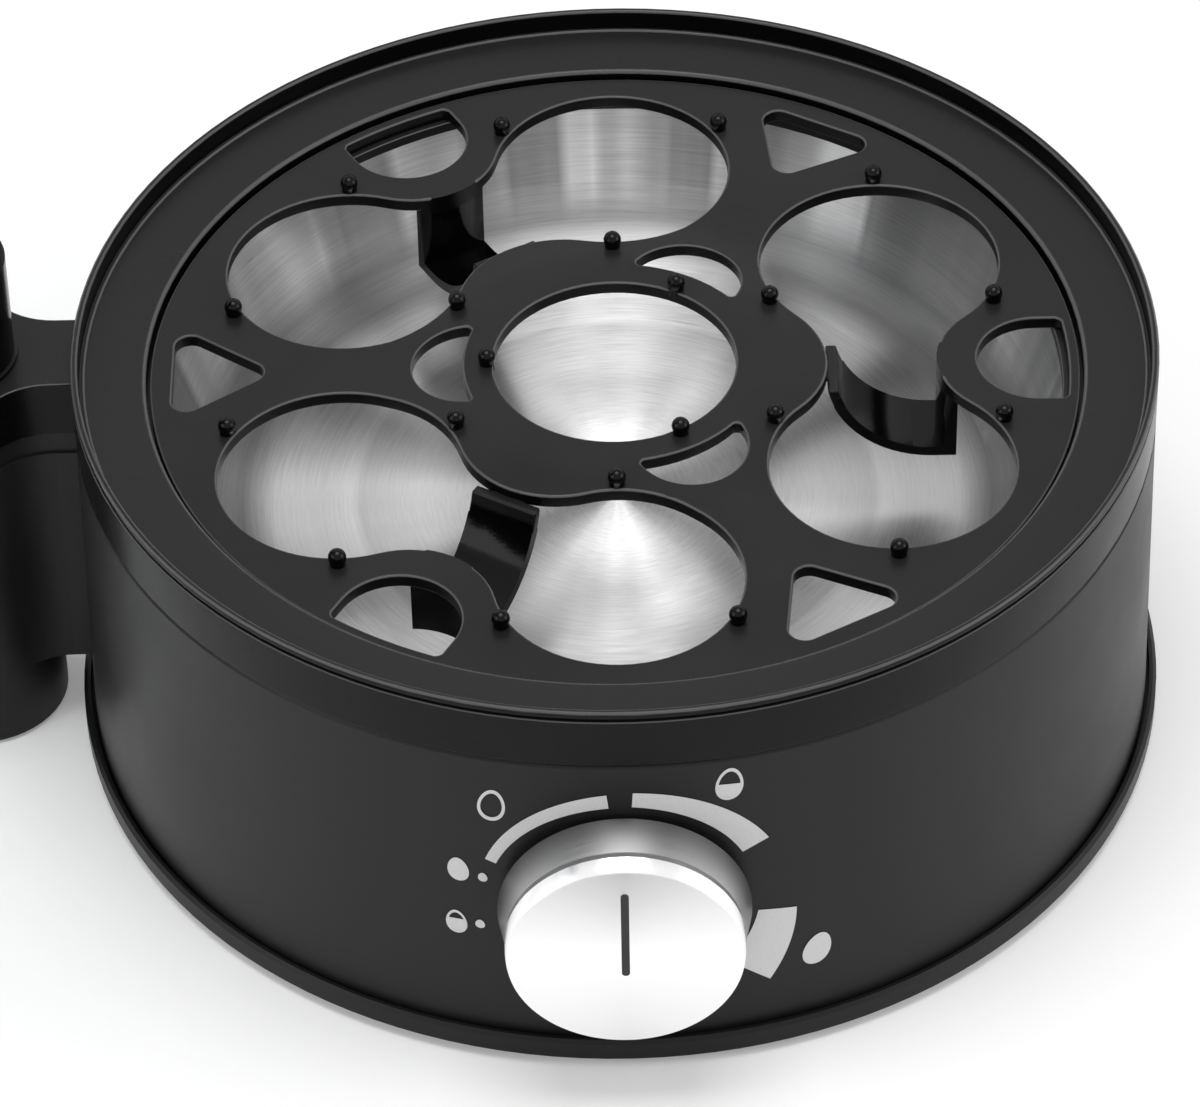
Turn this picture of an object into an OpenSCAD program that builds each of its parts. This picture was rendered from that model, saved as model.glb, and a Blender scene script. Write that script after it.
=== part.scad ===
// Electric cooker for seven eggs: round base with a steel water dish, lift-out egg tray,
// control knob, and a domed lid on a hinge post. Millimetres, +Z up, knob towards -Y.
// The origin is on the table under the middle of the base. The lid is drawn open.

/* [Body] */
// Outer radius of the rim
rim_r = 90; // [86:1:100]
// Height of the rim above the table
rim_top = 77; // [74:1:90]
// Height of the collar band above the parting seam
collar_h = 11.8; // [11:0.2:14]
// Wall of the moulded housing and collar
wall = 2.4; // [2:0.1:2.8]
// Extra radius of the housing at its bottom edge
flare = 1; // [0.4:0.1:1.4]
// How far the foot ring stands out past the rim
foot_out = 2.8; // [2.4:0.1:3.4]
// Height of the foot ring's top edge
foot_top = 5.8; // [5.2:0.1:6.6]
// Height of the rubber feet below the base plate
feet_h = 2; // [1.8:0.1:2.6]

/* [Collar] */
// Thickness of the raised lip
lip_t = 1.2; // [1:0.1:1.6]
// Height of the lip above the flat ring
lip_h = 3.7; // [3:0.1:4.4]
// Radial width of the flat ring between lip and tray
ring_w = 11; // [10:0.5:13]
// Fall of the ring towards the tray
ring_fall = 1.1; // [0.6:0.1:1.4]

/* [Tray] */
// Gap between the tray's edge and the collar
tray_gap = 0.6; // [0.4:0.1:1]
// Step down from the ring to the tray
tray_drop = 1.3; // [0.8:0.1:1.8]
// Thickness of the tray
tray_t = 2.5; // [2:0.1:3]
// Rise of the tray's hub above its outer part
hub_rise = 1; // [0.6:0.1:1.6]
// Radius of an egg hole
hole_r = 20.2; // [19:0.1:20.8]
// Band between the outer holes and the tray's edge
rim_band = 5; // [4.4:0.1:6]
// Band from the centre hole's edge to the tips of the inner lobes
hub_band = 15.2; // [14:0.2:16]
// Distance between the inner and outer lobe tips across a neck
neck_gap = 18.1; // [16:0.1:20]
// Radius of the pins' ball heads
ball_r = 1.5; // [1.2:0.1:1.7]
// Width of a sling
sling_w = 12; // [9:0.5:13]
// Depth of the slings below the tray's top
sling_depth = 16; // [13:0.5:18]
// Thickness of a sling
sling_t = 1.8; // [1.4:0.1:2.2]

/* [Dish] */
// Depth of the dish below its flange
dish_depth = 22.9; // [20:0.5:24]
// Sheet thickness of the dish
dish_t = 0.8; // [0.6:0.1:1]
// Radius of the dish's bottom bend
dish_bend = 6; // [4:0.5:7]
// Slope of the dish's wall from vertical, degrees
dish_slope = 18; // [16:1:19]

/* [Knob] */
// Height of the knob's axis
knob_z = 35; // [34:0.5:37]
// Radius of the knob's cap
knob_r = 19.2; // [17:0.1:20]
// Extra radius of the drum at the housing
drum_flare = 1.1; // [0.5:0.1:1.4]
// Length of the drum
drum_len = 6.2; // [5:0.1:8]
// Thickness of the cap
cap_len = 5; // [4.4:0.1:6]
// Rounding of the cap's front edge
cap_edge = 1.2; // [0.6:0.1:2]
// Radius of the control shaft
shaft_r = 3; // [2.8:0.1:3.2]

/* [Column] */
// Distance of the column's axis from the rim
column_out = 21; // [20.5:0.5:24]
// Outer radius of the column
column_r = 15; // [14.6:0.1:15.6]
// Half the width of the web between housing and column
web_half = 8.3; // [7.5:0.1:9]
// Radius of the fillets between web and column
web_fillet = 12; // [10:0.5:14]
// Height of the web's lower edge
web_bottom = 15; // [12:1:24]
// Radius of the hinge post
post_r = 11.7; // [11.4:0.1:11.9]
// Height of the hinge pin above the column's cap
hinge_rise = 29; // [28:0.5:34]
// Radius of the hinge pin
pin_r = 2; // [1.8:0.1:2.4]

/* [Lid] */
// Gap between the lid's rim and the collar's lip
lid_gap = 1.2; // [1.1:0.1:1.6]
// Height of the lid's rim above the flat ring
lid_lift = 0.4; // [0.3:0.1:0.8]
// Wall of the clear dome
dome_t = 1.8; // [1.5:0.1:2.2]
// Height of the dome above its rim, without the crown
dome_h = 65; // [60:1:75]
// Radius of the dome's shoulder
shoulder_r = 36; // [32:1:38]
// Radius of the dome's crown
crown_r = 170; // [150:5:220]
// Angle by which the lid stands open, degrees
lid_open = 125; // [120:1:128]
// Width of the lid's arm
arm_w = 9.8; // [8:0.1:10.2]

/* [Hidden] */

eps = 0.01;
slip = 0.2;          // clearance of parts that locate each other
run = 0.05;          // radial clearance of a turning fit
big = 400;           // reach of a cutting shape
$fn = 96;

// Heights, from the rim down
seam_z = rim_top - collar_h;
ring_out_z = rim_top - lip_h;
ring_in_z = ring_out_z - ring_fall;
tray_top = ring_in_z - tray_drop;
shelf_z = tray_top - tray_t;
shelf_t = 2;
gasket_t = 0.7;
flange_z = shelf_z - shelf_t - gasket_t;
dish_floor = flange_z - dish_depth;
cap_top = rim_top - 1;
plate_t = 2.4;
plate_top = feet_h + plate_t;
shell_bottom = feet_h + 1.2;

// Radii, from the rim inwards
foot_r = rim_r + foot_out;
lip_in_r = rim_r - lip_t;
ring_in_r = lip_in_r - ring_w;
shelf_in_r = ring_in_r - 3.4;
rib_out_r = rim_r - wall - slip;
rib_in_r = rib_out_r - 1.8;
flange_r = rib_in_r - 0.6;
tray_r = ring_in_r - tray_gap;
hole_circle = tray_r - hole_r - rim_band;

upstand_top = foot_top + 1;     // top of the base plate's upstand inside the housing
boss_circle = rim_r - wall - 6.5;
boss_r = 4;
boss_h = 20;
screw_r = 1.45;
screw_head_r = 2.8;
gland_z = 14;
gland_r = 5.5;
cord_r = 3.3;
pin_t = 1.6;                    // radius of the heating element's cold pins

function housing_r(z) = rim_r + flare * (seam_z - z) / (seam_z - shell_bottom);
function at(r, a) = [r * cos(a), r * sin(a)];

// ---------------------------------------------------------------- general shapes

// A polygon with every corner rounded outwards by radius r. Its sides lie a hair inside the
// corner circles, so that they cross them and don't just touch.
module rounded(points, r) {
    n = len(points);
    side = r * 0.998;
    polygon(points);
    for (i = [0 : n - 1]) {
        p = points[i];
        q = points[(i + 1) % n];
        translate(p) circle(r, $fn = 32);
        translate(p) rotate(atan2(q[1] - p[1], q[0] - p[0])) translate([0, -side])
            square([norm(q - p), 2 * side]);
    }
}

// A disc or rod with its top edge rounded by e
module soft_disc(r, h, e) rotate_extrude() {
    square([r, h - e]);
    square([r - e, h]);
    translate([r - e, h - e]) circle(e, $fn = 32);
}

// A round wire through a list of points
module wire(points, r) {
    for (i = [0 : len(points) - 1]) translate(points[i]) sphere(r * 1.06, $fn = 24);
    for (i = [0 : len(points) - 2]) {
        d = points[i + 1] - points[i];
        translate(points[i]) rotate([0, acos(d[2] / norm(d)), atan2(d[1], d[0])])
            cylinder(h = norm(d), r = r, $fn = 24);
    }
}

// Screw pointing up, with its pan head below z = 0
module screw(r, len, head_r, head_h) {
    cylinder(h = len, r = r, $fn = 32);
    translate([0, 0, -head_h]) difference() {
        cylinder(h = head_h, r = head_r, $fn = 48);
        for (a = [0, 90]) rotate(a) translate([-head_r * 0.6, -0.4, -eps])
            cube([head_r * 1.2, 0.8, head_h * 0.5]);
    }
}

// Places children on the knob's axis: their z is the distance from the body's axis to the front
module on_knob_axis() translate([0, 0, knob_z]) rotate([90, 0, 0]) children();

// ---------------------------------------------------------------- housing

column_x = -(rim_r + column_out);
column_in_r = column_r - wall;
post_foot_z = 24;
post_screw_r = 2;
foot_plug_z = 1.2;
bushing_r = 4;
bushing_pad_r = 11;
gland_pad_r = gland_z - upstand_top - slip;
pad_at = rim_r - wall - 1.6;
reveal = 0.5;
reveal_h = 4.3;

// Outline of column and web, drawn inwards by inset
module column_web(inset, reach) {
    r = column_r - inset;
    half = web_half - inset;
    f = web_fillet + inset;
    fx = sqrt(pow(r + f, 2) - pow(half + f, 2));
    translate([column_x, 0]) {
        circle(r);
        difference() {
            polygon([[0, 0], [fx, -half - f], [fx, half + f]]);
            for (s = [-1, 1]) translate([fx, s * (half + f)]) circle(f);
        }
    }
    translate([column_x + fx - eps, -half]) square([-column_x - fx + eps - reach, 2 * half]);
}

module housing_shell() rotate_extrude($fn = 180) polygon([
    [housing_r(shell_bottom), shell_bottom], [rim_r, seam_z - 0.4], [rim_r - 0.4, seam_z],
    [rim_r - wall, seam_z], [housing_r(shell_bottom) - wall, shell_bottom]]);

module housing() color("#2b2b2d") {
    difference() {
        union() {
            difference() {
                union() {
                    housing_shell();
                    translate([0, 0, web_bottom]) linear_extrude(seam_z - reveal_h - web_bottom)
                        column_web(0, rim_r - wall / 2);
                    translate([0, 0, web_bottom]) linear_extrude(seam_z - web_bottom)
                        column_web(reveal, rim_r - wall / 2);
                    translate([column_x, 0, 0.8]) cylinder(h = web_bottom, r = column_r);
                }
                // hollow web and column
                translate([0, 0, web_bottom + wall]) linear_extrude(big)
                    column_web(wall, rim_r - wall / 2);
                translate([column_x, 0, -eps]) cylinder(h = big, r = column_in_r);
            }
            // seat of the hinge post
            translate([column_x, 0, post_foot_z - 4]) cylinder(h = 4, r = column_in_r + eps);
            translate([column_x, 0, post_foot_z - eps]) difference() {
                cylinder(h = 8, r = column_in_r + eps);
                translate([0, 0, -1]) cylinder(h = 10, r = post_r + run);
            }
            // bosses for the base screws
            for (a = [45 : 90 : 315]) rotate(a) translate([boss_circle, 0, plate_top + slip]) {
                cylinder(h = boss_h, r = boss_r, $fn = 48);
                translate([0, -0.8, upstand_top - plate_top])
                    cube([rim_r - wall / 2 - boss_circle, 1.6, boss_h - upstand_top + plate_top]);
            }
            // inner pads behind knob and cord gland
            on_knob_axis() translate([0, 0, pad_at]) cylinder(h = rim_r - 0.5 - pad_at, r = bushing_pad_r);
            translate([0, rim_r - 0.5, gland_z]) rotate([90, 0, 0])
                cylinder(h = rim_r - 0.5 - pad_at, r = gland_pad_r);
        }
        for (a = [45 : 90 : 315]) rotate(a) translate([boss_circle, 0, plate_top])
            cylinder(h = boss_h - 3, r = screw_r + run, $fn = 32);
        on_knob_axis() translate([0, 0, pad_at - 1]) cylinder(h = 20, r = bushing_r + run, $fn = 48);
        translate([0, rim_r + 20, gland_z]) rotate([90, 0, 0]) cylinder(h = 40, r = gland_r + run);
        translate([column_x, 0, 0]) cylinder(h = big, r = post_screw_r + slip, $fn = 32);
    }
}

// ---------------------------------------------------------------- collar

module collar_ring() rotate_extrude($fn = 180) difference() {
    union() {
        polygon([
            [rim_r - 0.4, seam_z], [rim_r, seam_z + 0.4], [rim_r, rim_top - 2],
            [rim_r - 0.5, rim_top - 2], [rim_r - 0.5, rim_top - 1.3], [rim_r, rim_top - 1.3],
            [rim_r, rim_top - 0.4], [rim_r - 0.3, rim_top], [lip_in_r + 0.3, rim_top],
            [lip_in_r, rim_top - 0.3], [lip_in_r, ring_out_z - 0.2],
            [ring_in_r + 0.5, ring_in_z], [ring_in_r, ring_in_z - 0.5],
            [ring_in_r, shelf_z], [shelf_in_r, shelf_z], [shelf_in_r, shelf_z - shelf_t],
            [flange_r, shelf_z - shelf_t], [rib_in_r, flange_z - 1], [rib_in_r, seam_z - 3.6],
            [rib_out_r - 0.4, seam_z - 3.6], [rib_out_r, seam_z - 3.2], [rib_out_r, seam_z]]);
        translate([lip_in_r - 0.5, ring_out_z - 0.3]) circle(0.5, $fn = 32);
    }
    // pocket that keeps the ring an even wall
    translate([ring_in_r + 2, shelf_z - shelf_t - eps])
        square([rib_in_r - ring_in_r - 2 - eps, shelf_t + 1.2]);
}

module collar() color("#1d1d1f") difference() {
    union() {
        collar_ring();
        translate([0, 0, seam_z]) linear_extrude(cap_top - seam_z) column_web(0, rim_r - lip_t / 2);
        at_dish_screws() translate([0, 0, flange_z + eps])
            cylinder(h = ring_in_z - flange_z - 1, r = dish_boss_r, $fn = 48);
    }
    translate([0, 0, seam_z - eps]) linear_extrude(cap_top - wall - seam_z) column_web(wall, rim_r - eps);
    translate([column_x, 0, seam_z]) cylinder(h = big, r = post_r + run);
    at_dish_screws() translate([0, 0, flange_z - 1])
        cylinder(h = dish_screw_len, r = dish_screw_r + run, $fn = 32);
}

// ---------------------------------------------------------------- base

feet_circle = rim_r - 16;
foot_pad_r = 6;

foot_edge_r = boss_circle + screw_head_r + slip;
foot_edge_h = 1.2;
upstand_r = housing_r(shell_bottom) - wall - slip;
upstand_t = 1.6;

module base_plate() color("#222224") difference() {
    rotate_extrude($fn = 180) polygon([
        [0, feet_h], [foot_edge_r, feet_h], [foot_edge_r, feet_h - foot_edge_h],
        [foot_r - 1.2, feet_h - foot_edge_h], [foot_r, feet_h], [foot_r, foot_top - 0.6],
        [foot_r - 0.6, foot_top], [foot_r - 1.2, foot_top], [foot_r - 1.2, shell_bottom],
        [upstand_r, shell_bottom], [upstand_r, upstand_top], [upstand_r - upstand_t, upstand_top],
        [upstand_r - upstand_t, plate_top], [0, plate_top]]);
    for (a = [45 : 90 : 315]) rotate(a) translate([boss_circle, 0, 0])
        cylinder(h = 20, r = screw_r + slip, $fn = 32);
    for (p = feet_places()) translate([p[0], p[1], 0]) cylinder(h = 20, r = 2.5 + run, $fn = 32);
    // cooling slots
    for (i = [-3 : 3]) translate([i * 7, -18, 0]) linear_extrude(20)
        rounded([[-1.2, -12], [1.2, -12], [1.2, 12], [-1.2, 12]], 0.8);
}

function feet_places() = concat([[0, 0]], [for (a = [0 : 90 : 270]) at(feet_circle, a)]);

module rubber_feet() color("#3a3a3a") {
    for (p = feet_places()) translate([p[0], p[1], 0]) {
        cylinder(h = feet_h, r1 = foot_pad_r - 0.5, r2 = foot_pad_r);
        cylinder(h = plate_top + 1, r = 2.5, $fn = 32);
    }
    translate([column_x, 0, 0]) cylinder(h = foot_plug_z, r = 8);
}

module base_screws() color("silver") for (a = [45 : 90 : 315]) rotate(a)
    translate([boss_circle, 0, feet_h]) screw(screw_r, 14, screw_head_r, 1);

// Cup that closes the column from below
module column_foot() color("#222224") translate([column_x, 0, foot_plug_z]) difference() {
    cylinder(h = 9, r = column_in_r - run);
    translate([0, 0, 4]) cylinder(h = 9, r = column_in_r - 1.8);
}

// ---------------------------------------------------------------- dish and heater

dish_top_r = shelf_in_r + 1;
wall_h = dish_depth - dish_bend + dish_bend * sin(dish_slope);
bend_r = dish_top_r - wall_h * tan(dish_slope) - dish_bend * cos(dish_slope);
bend_z = dish_floor + dish_bend;
dish_screw_circle = flange_r - 3.2;
dish_screw_r = 1.1;
dish_screw_len = 4.6;
dish_boss_r = 2.6;

// Places children on the axes of the four screws that hold the dish to the collar
module at_dish_screws() for (a = [20 : 90 : 290])
    rotate(a) translate([dish_screw_circle, 0, 0]) children();

// Profile of the dish's hollow, drawn outwards by grow
module dish_hollow(grow) {
    b = dish_bend + grow;
    side = [bend_r + b * cos(dish_slope), bend_z - b * sin(dish_slope)];
    polygon([[0, dish_floor - grow], [bend_r, dish_floor - grow], [bend_r, bend_z], side,
        [side[0] + (flange_z - side[1]) * tan(dish_slope), flange_z], [0, flange_z]]);
    intersection() {
        translate([bend_r, bend_z]) circle(b);
        translate([0, -big]) square([big, big + flange_z]);
    }
}

module heating_dish() color("#d8d8da") difference() {
    rotate_extrude($fn = 180) difference() {
        union() {
            dish_hollow(dish_t);
            translate([0, flange_z - dish_t]) square([flange_r, dish_t]);
        }
        dish_hollow(0);
    }
    at_dish_screws() cylinder(h = big, r = dish_screw_r + slip, center = true, $fn = 32);
}

module dish_gasket() color("#8a2f2a") rotate_extrude($fn = 180) translate([dish_top_r + 0.4, flange_z])
    square([dish_screw_circle - dish_boss_r - slip - dish_top_r - 0.4, gasket_t]);

module dish_screws() color("silver") at_dish_screws()
    translate([0, 0, flange_z - dish_t]) screw(dish_screw_r, dish_screw_len - 0.6, 2, 1);

plate_under = dish_floor - dish_t - 2;
element_r = 38;
tube_r = 3.3;
element_z = plate_under - tube_r;
pin_reach = 18;

module heat_plate() color("#b9bcc0") {
    translate([0, 0, plate_under]) cylinder(h = 2, r = element_r + 7);
    translate([0, 0, plate_under - 13]) cylinder(h = 13, r = 2, $fn = 48);
}

module heating_element() color("#70706e") {
    rotate([0, 0, 110]) rotate_extrude(angle = 320) translate([element_r, element_z])
        circle(tube_r, $fn = 32);
    for (s = [-1, 1]) translate([s * element_r * sin(20), element_r * cos(20), element_z])
        rotate([-90, 0, s * -20]) cylinder(h = pin_reach, r = pin_t, $fn = 32);
}

module element_clamp() color("#a6a8aa") difference() {
    translate([-element_r - 6, -7, element_z - tube_r - 1.5]) cube([2 * element_r + 12, 14, 1.5]);
    cylinder(h = big, r = 2 + slip, $fn = 48);
}

module clamp_nut() color("silver") translate([0, 0, element_z - tube_r - 1.5 - 2.6]) difference() {
    linear_extrude(2.6) circle(4, $fn = 6);
    translate([0, 0, -1]) cylinder(h = 5, r = 2 + eps, $fn = 48);
}

module thermostat() color("#c9c4b6") translate([0, 20, plate_under - 6]) {
    cylinder(h = 6, r = 8);
    for (s = [-1, 1]) translate([s * 5 - 2, -0.4, -6]) cube([4, 0.8, 6 + eps]);
}

module thermal_fuse() color("#cfc9a8") translate([0, -20, plate_under - 2.3]) rotate([0, 90, 0]) {
    translate([0, 0, -7]) cylinder(h = 14, r = 2.3);
    translate([0, 0, -12]) cylinder(h = 24, r = 0.7, $fn = 32);
}

// ---------------------------------------------------------------- control

body_front = pad_at;
body_len = 13.5;
body_half = [14, 12];
tab_len = 6;
tab_at = body_front - 6;
nut_r = 7;
knob_back = rim_r + flare + 0.1;
cap_at = knob_back + drum_len;
drum_wall = 2.2;
nut_at = housing_r(knob_z - nut_r) + 0.02;
shaft_end = cap_at - 1.2;

module regulator_body() color("#e6e2d8") on_knob_axis() difference() {
    union() {
        translate([0, 0, body_front - body_len]) linear_extrude(body_len)
            rounded([for (c = [[-1, -1], [1, -1], [1, 1], [-1, 1]])
                [c[0] * (body_half[0] - 2), c[1] * (body_half[1] - 2)]], 2);
        translate([0, 0, body_front - eps])
            cylinder(h = nut_at + 2.4 - body_front, r = bushing_r, $fn = 48);
        for (s = [-1, 1]) translate([s * 8 - 2.5, -body_half[1] - tab_len, tab_at])
            cube([5, tab_len + 1, 0.8]);
    }
    translate([0, 0, body_front - body_len + 3]) cylinder(h = 40, r = shaft_r + run, $fn = 48);
}

module regulator_nut() color("silver") on_knob_axis() translate([0, 0, nut_at]) difference() {
    linear_extrude(2.2) circle(nut_r, $fn = 6);
    translate([0, 0, -1]) cylinder(h = 5, r = bushing_r + eps, $fn = 48);
}

module control_shaft() color("#b8b8bc") on_knob_axis()
    translate([0, 0, body_front - body_len + 3 + run])
        cylinder(h = shaft_end - body_front + body_len - 3 - run, r = shaft_r, $fn = 48);

module knob_drum() color("#8c8c8e") on_knob_axis() difference() {
    union() {
        difference() {
            translate([0, 0, knob_back]) cylinder(h = drum_len, r1 = knob_r + drum_flare, r2 = knob_r - 0.1);
            translate([0, 0, knob_back - eps])
                cylinder(h = drum_len - 2, r = knob_r - drum_wall);
        }
        translate([0, 0, nut_at + 3.2]) cylinder(h = cap_at - nut_at - 3.2, r = 6.5, $fn = 48);
    }
    translate([0, 0, nut_at]) cylinder(h = shaft_end + 0.1 - nut_at, r = shaft_r + 0.02, $fn = 48);
}

pointer_w = 1.3;
pointer_len = 18;
pointer_mid = 5.4;              // height of the pointer's middle above the knob's axis
pointer_depth = 0.8;

module pointer_bar(grow) linear_extrude(pointer_depth + grow) translate([0, pointer_mid]) {
    half = (pointer_len - pointer_w) / 2;
    for (s = [-1, 1]) translate([0, s * half]) circle(pointer_w / 2 + grow, $fn = 32);
    square([0.998 * (pointer_w + 2 * grow), 2 * half], center = true);
}

module knob_cap() color("#f2f2f4") on_knob_axis() translate([0, 0, cap_at]) difference() {
    soft_disc(knob_r, cap_len, cap_edge, $fn = 120);
    translate([0, 0, cap_len - pointer_depth]) pointer_bar(0.02);
}

module knob_pointer() color("#2a2a2c") on_knob_axis()
    translate([0, 0, cap_at + cap_len - pointer_depth]) pointer_bar(0);

module buzzer() color("#161616") translate([rim_r - 44, -14, plate_top]) difference() {
    cylinder(h = 8, r = 11);
    translate([0, 0, 6]) cylinder(h = 3, r = 1.5, $fn = 32);
}

block = [26, 12, 13];           // size of the terminal block
block_y = rim_r - 30;           // distance of its middle from the body's axis
block_pitch = 8;

module terminal_block() color("#ececec") translate([0, block_y, plate_top]) difference() {
    translate([-block[0] / 2, -block[1] / 2, 0]) cube(block);
    for (i = [-1, 0, 1]) translate([i * block_pitch, 0, block[2] - 5]) cylinder(h = 9, r = 2, $fn = 32);
}

module cord_gland() color("#1a1a1a") translate([0, housing_r(gland_z) + 2.6, gland_z]) rotate([90, 0, 0])
    difference() {
        union() {
            cylinder(h = 2.2, r = gland_r + 2.4);
            cylinder(h = 12, r = gland_r);
        }
        translate([0, 0, -1]) cylinder(h = 20, r = cord_r);
    }

module inner_leads() color("#a03028") {
    lead_r = 1;
    seat = lead_r * 1.06 + 0.1;
    low = plate_top + lead_r + 0.3;
    top = plate_top + block[2] + seat;
    lane = rim_r / 3;
    pin_tip = element_z - pin_t - seat;
    pin_end = at(element_r + pin_reach - 2, 70);
    reg_z = knob_z - body_half[1] - tab_len - seat;
    reg_y = -(tab_at + 0.4);
    wire([[-block_pitch, block_y, top], [-block_pitch - 12, block_y, top], [-lane, block_y - 20, low],
        [-lane, 40 - rim_r, low], [-8, reg_y, low], [-8, reg_y, reg_z]], lead_r);
    wire([[8, reg_y, reg_z], [8, reg_y + 6, low], [lane - 2, 50 - rim_r, low], [lane - 2, rim_r - 60, low],
        [pin_end[0], pin_end[1], low + 8], [pin_end[0], pin_end[1], pin_tip]], lead_r);
    wire([[block_pitch, block_y, top], [block_pitch - pin_end[0], block_y, top + 2],
        [-pin_end[0], pin_end[1], pin_tip]], lead_r);
}

// ---------------------------------------------------------------- hinge post

hinge_z = cap_top + hinge_rise;
slot_half = arm_w / 2 + 0.3;
knuckle_r = 7.5;
slot_z = hinge_z - knuckle_r - 1.5;
stop_x = column_x - knuckle_r - 1.2;
pin_len = 2 * post_r - 1.4;
pin_head_r = 3;

module hinge_post() color("#141415") difference() {
    union() {
        intersection() {
            translate([column_x, 0, post_foot_z]) cylinder(h = big, r = post_r);
            union() {
                translate([column_x - 50, -50, 0]) cube([100, 100, hinge_z]);
                translate([column_x, 50, hinge_z]) rotate([90, 0, 0]) cylinder(h = 100, r = post_r);
            }
        }
        translate([column_x, 0, cap_top]) cylinder(h = 0.8, r = post_r + 0.6);
    }
    // slot for the lid's arm, with the stop wall at its back
    translate([column_x - post_r - 1, -slot_half, hinge_z + 0.6]) cube([4 * post_r, 2 * slot_half, big]);
    translate([stop_x, -slot_half, slot_z]) cube([4 * post_r, 2 * slot_half, big]);
    // hinge pin
    translate([column_x, 50, hinge_z]) rotate([90, 0, 0]) cylinder(h = 100, r = pin_r + 0.02, $fn = 48);
    for (s = [-1, 1]) translate([column_x, s * (pin_len / 2 + 5 - 0.8), hinge_z]) rotate([90, 0, 0])
        cylinder(h = 10, r = pin_head_r + slip, center = true, $fn = 48);
    // hollow lower part
    translate([column_x, 0, post_foot_z + 14]) cylinder(h = slot_z - 6 - post_foot_z - 14, r = post_r - 3);
    translate([column_x, 0, post_foot_z - 1]) cylinder(h = 13, r = post_screw_r + run, $fn = 32);
}

module post_screw() color("silver") translate([column_x, 0, post_foot_z - 4])
    screw(post_screw_r, 14, 3.8, 2.4);

module hinge_pin() color("#c8c8cc") translate([column_x, 0, hinge_z]) rotate([90, 0, 0]) {
    cylinder(h = pin_len, r = pin_r, center = true, $fn = 48);
    for (s = [-1, 1]) translate([0, 0, s * (pin_len / 2 - 0.4)])
        cylinder(h = 0.8, r = pin_head_r, center = true, $fn = 48);
}

// ---------------------------------------------------------------- egg tray

hx = hole_circle * cos(30);
inner_tip = hole_r + hub_band;
outer_tip = inner_tip + neck_gap;
// Lobes are circles that touch both egg holes of a pair and end at the given tip
inner_lobe = (pow(inner_tip + hole_r, 2) - pow(hole_circle, 2)) / (2 * (inner_tip + hole_r - hx));
inner_lobe_r = inner_tip - inner_lobe;
outer_lobe = (pow(hole_circle, 2) - pow(outer_tip - hole_r, 2)) / (2 * (hx - outer_tip + hole_r));
outer_lobe_r = outer_lobe - outer_tip;
vent_band = 4.3;
vent_out_r = tray_r - 1.8;
moon_r = 9.5;
moon_in_r = hole_r + 5.1;
moon_at = moon_in_r - 1.1;
ball_rise = 1.4;
hub_r = moon_in_r + 1.5;
hub_foot_r = inner_tip + 2.5;

// Height of the tray's plate above its outer part, at radius r
function tray_lift(r) = hub_rise * max(0, min(1, (hub_foot_r - r) / (hub_foot_r - hub_r)));

// Two egg holes of a pair, joined through their neck; the pair is centred on the +X axis
module hole_pair() {
    difference() {
        polygon([[inner_lobe, 0], at(hole_circle, 30), [outer_lobe, 0], at(hole_circle, -30)]);
        translate([inner_lobe, 0]) circle(inner_lobe_r);
        translate([outer_lobe, 0]) circle(outer_lobe_r);
    }
    for (a = [-30, 30]) translate(at(hole_circle, a)) circle(hole_r);
}

// Rounds a corner of its children. A circle of radius r about f would touch the corner's two
// sides in the directions a and b; the cut follows one a little larger, which crosses them.
module corner(f, a, b, r) difference() {
    children();
    translate(f) difference() {
        polygon([[0, 0], 4 * r * a, 4 * r * (a + b), 4 * r * b]);
        circle(r * 1.06, $fn = 48);
    }
}

// D-shaped vent in the outer lobe
module lobe_vent() {
    half = outer_lobe_r - vent_band;
    mid = outer_lobe + 2.4;
    c = 1.6;
    fy = half - c;
    fx = sqrt(pow(vent_out_r - c, 2) - pow(fy, 2));
    radial = [fx, fy] / norm([fx, fy]);
    corner([fx, fy], [0, 1], radial, c) corner([fx, -fy], [0, -1], [radial[0], -radial[1]], c)
        intersection() {
            union() {
                translate([mid, 0]) circle(half);
                translate([mid, -half]) square([30, 2 * half]);
            }
            circle(vent_out_r);
        }
}

// Three-sided vent between two pairs
module side_vent() {
    c = 2.6;
    far = vent_out_r - 2 - c;
    rounded([[hole_circle + 9, 0], [far, -7], [far, 7]], c);
}

// Half-moon vent beside the centre hole
module moon_vent() {
    c = 0.9;
    f = moon_in_r + c;
    fx = (f * f + moon_at * moon_at - pow(moon_r - c, 2)) / (2 * moon_at);
    fy = sqrt(f * f - fx * fx);
    out = [fx - moon_at, fy] / (moon_r - c);
    in = [-fx, -fy] / f;
    corner([fx, fy], out, in, c) corner([fx, -fy], [out[0], -out[1]], [in[0], -in[1]], c)
        difference() {
            translate([moon_at, 0]) circle(moon_r);
            circle(moon_in_r);
        }
}

module tray_outline() difference() {
    circle(tray_r, $fn = 180);
    circle(hole_r);
    for (a = [0, 120, 240]) rotate(a) {
        hole_pair();
        lobe_vent();
        rotate(60) {
            side_vent();
            moon_vent();
        }
    }
}

// Ball-headed pins: three at the edge of each hole, one of them towards the tray's middle
module pins() {
    places = concat(
        [for (a = [60, 180, 300]) at(hole_r + 1, a)],
        [for (h = [30 : 60 : 330], p = [60, 180, 300]) at(hole_circle, h) + at(hole_r + 1.5, h + p)]);
    for (p = places) translate([p[0], p[1], tray_top + tray_lift(norm(p))]) {
        translate([0, 0, -tray_t / 2]) cylinder(h = tray_t / 2 + ball_rise, r = ball_r - 0.2, $fn = 32);
        translate([0, 0, ball_rise]) sphere(ball_r, $fn = 32);
    }
}

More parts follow.
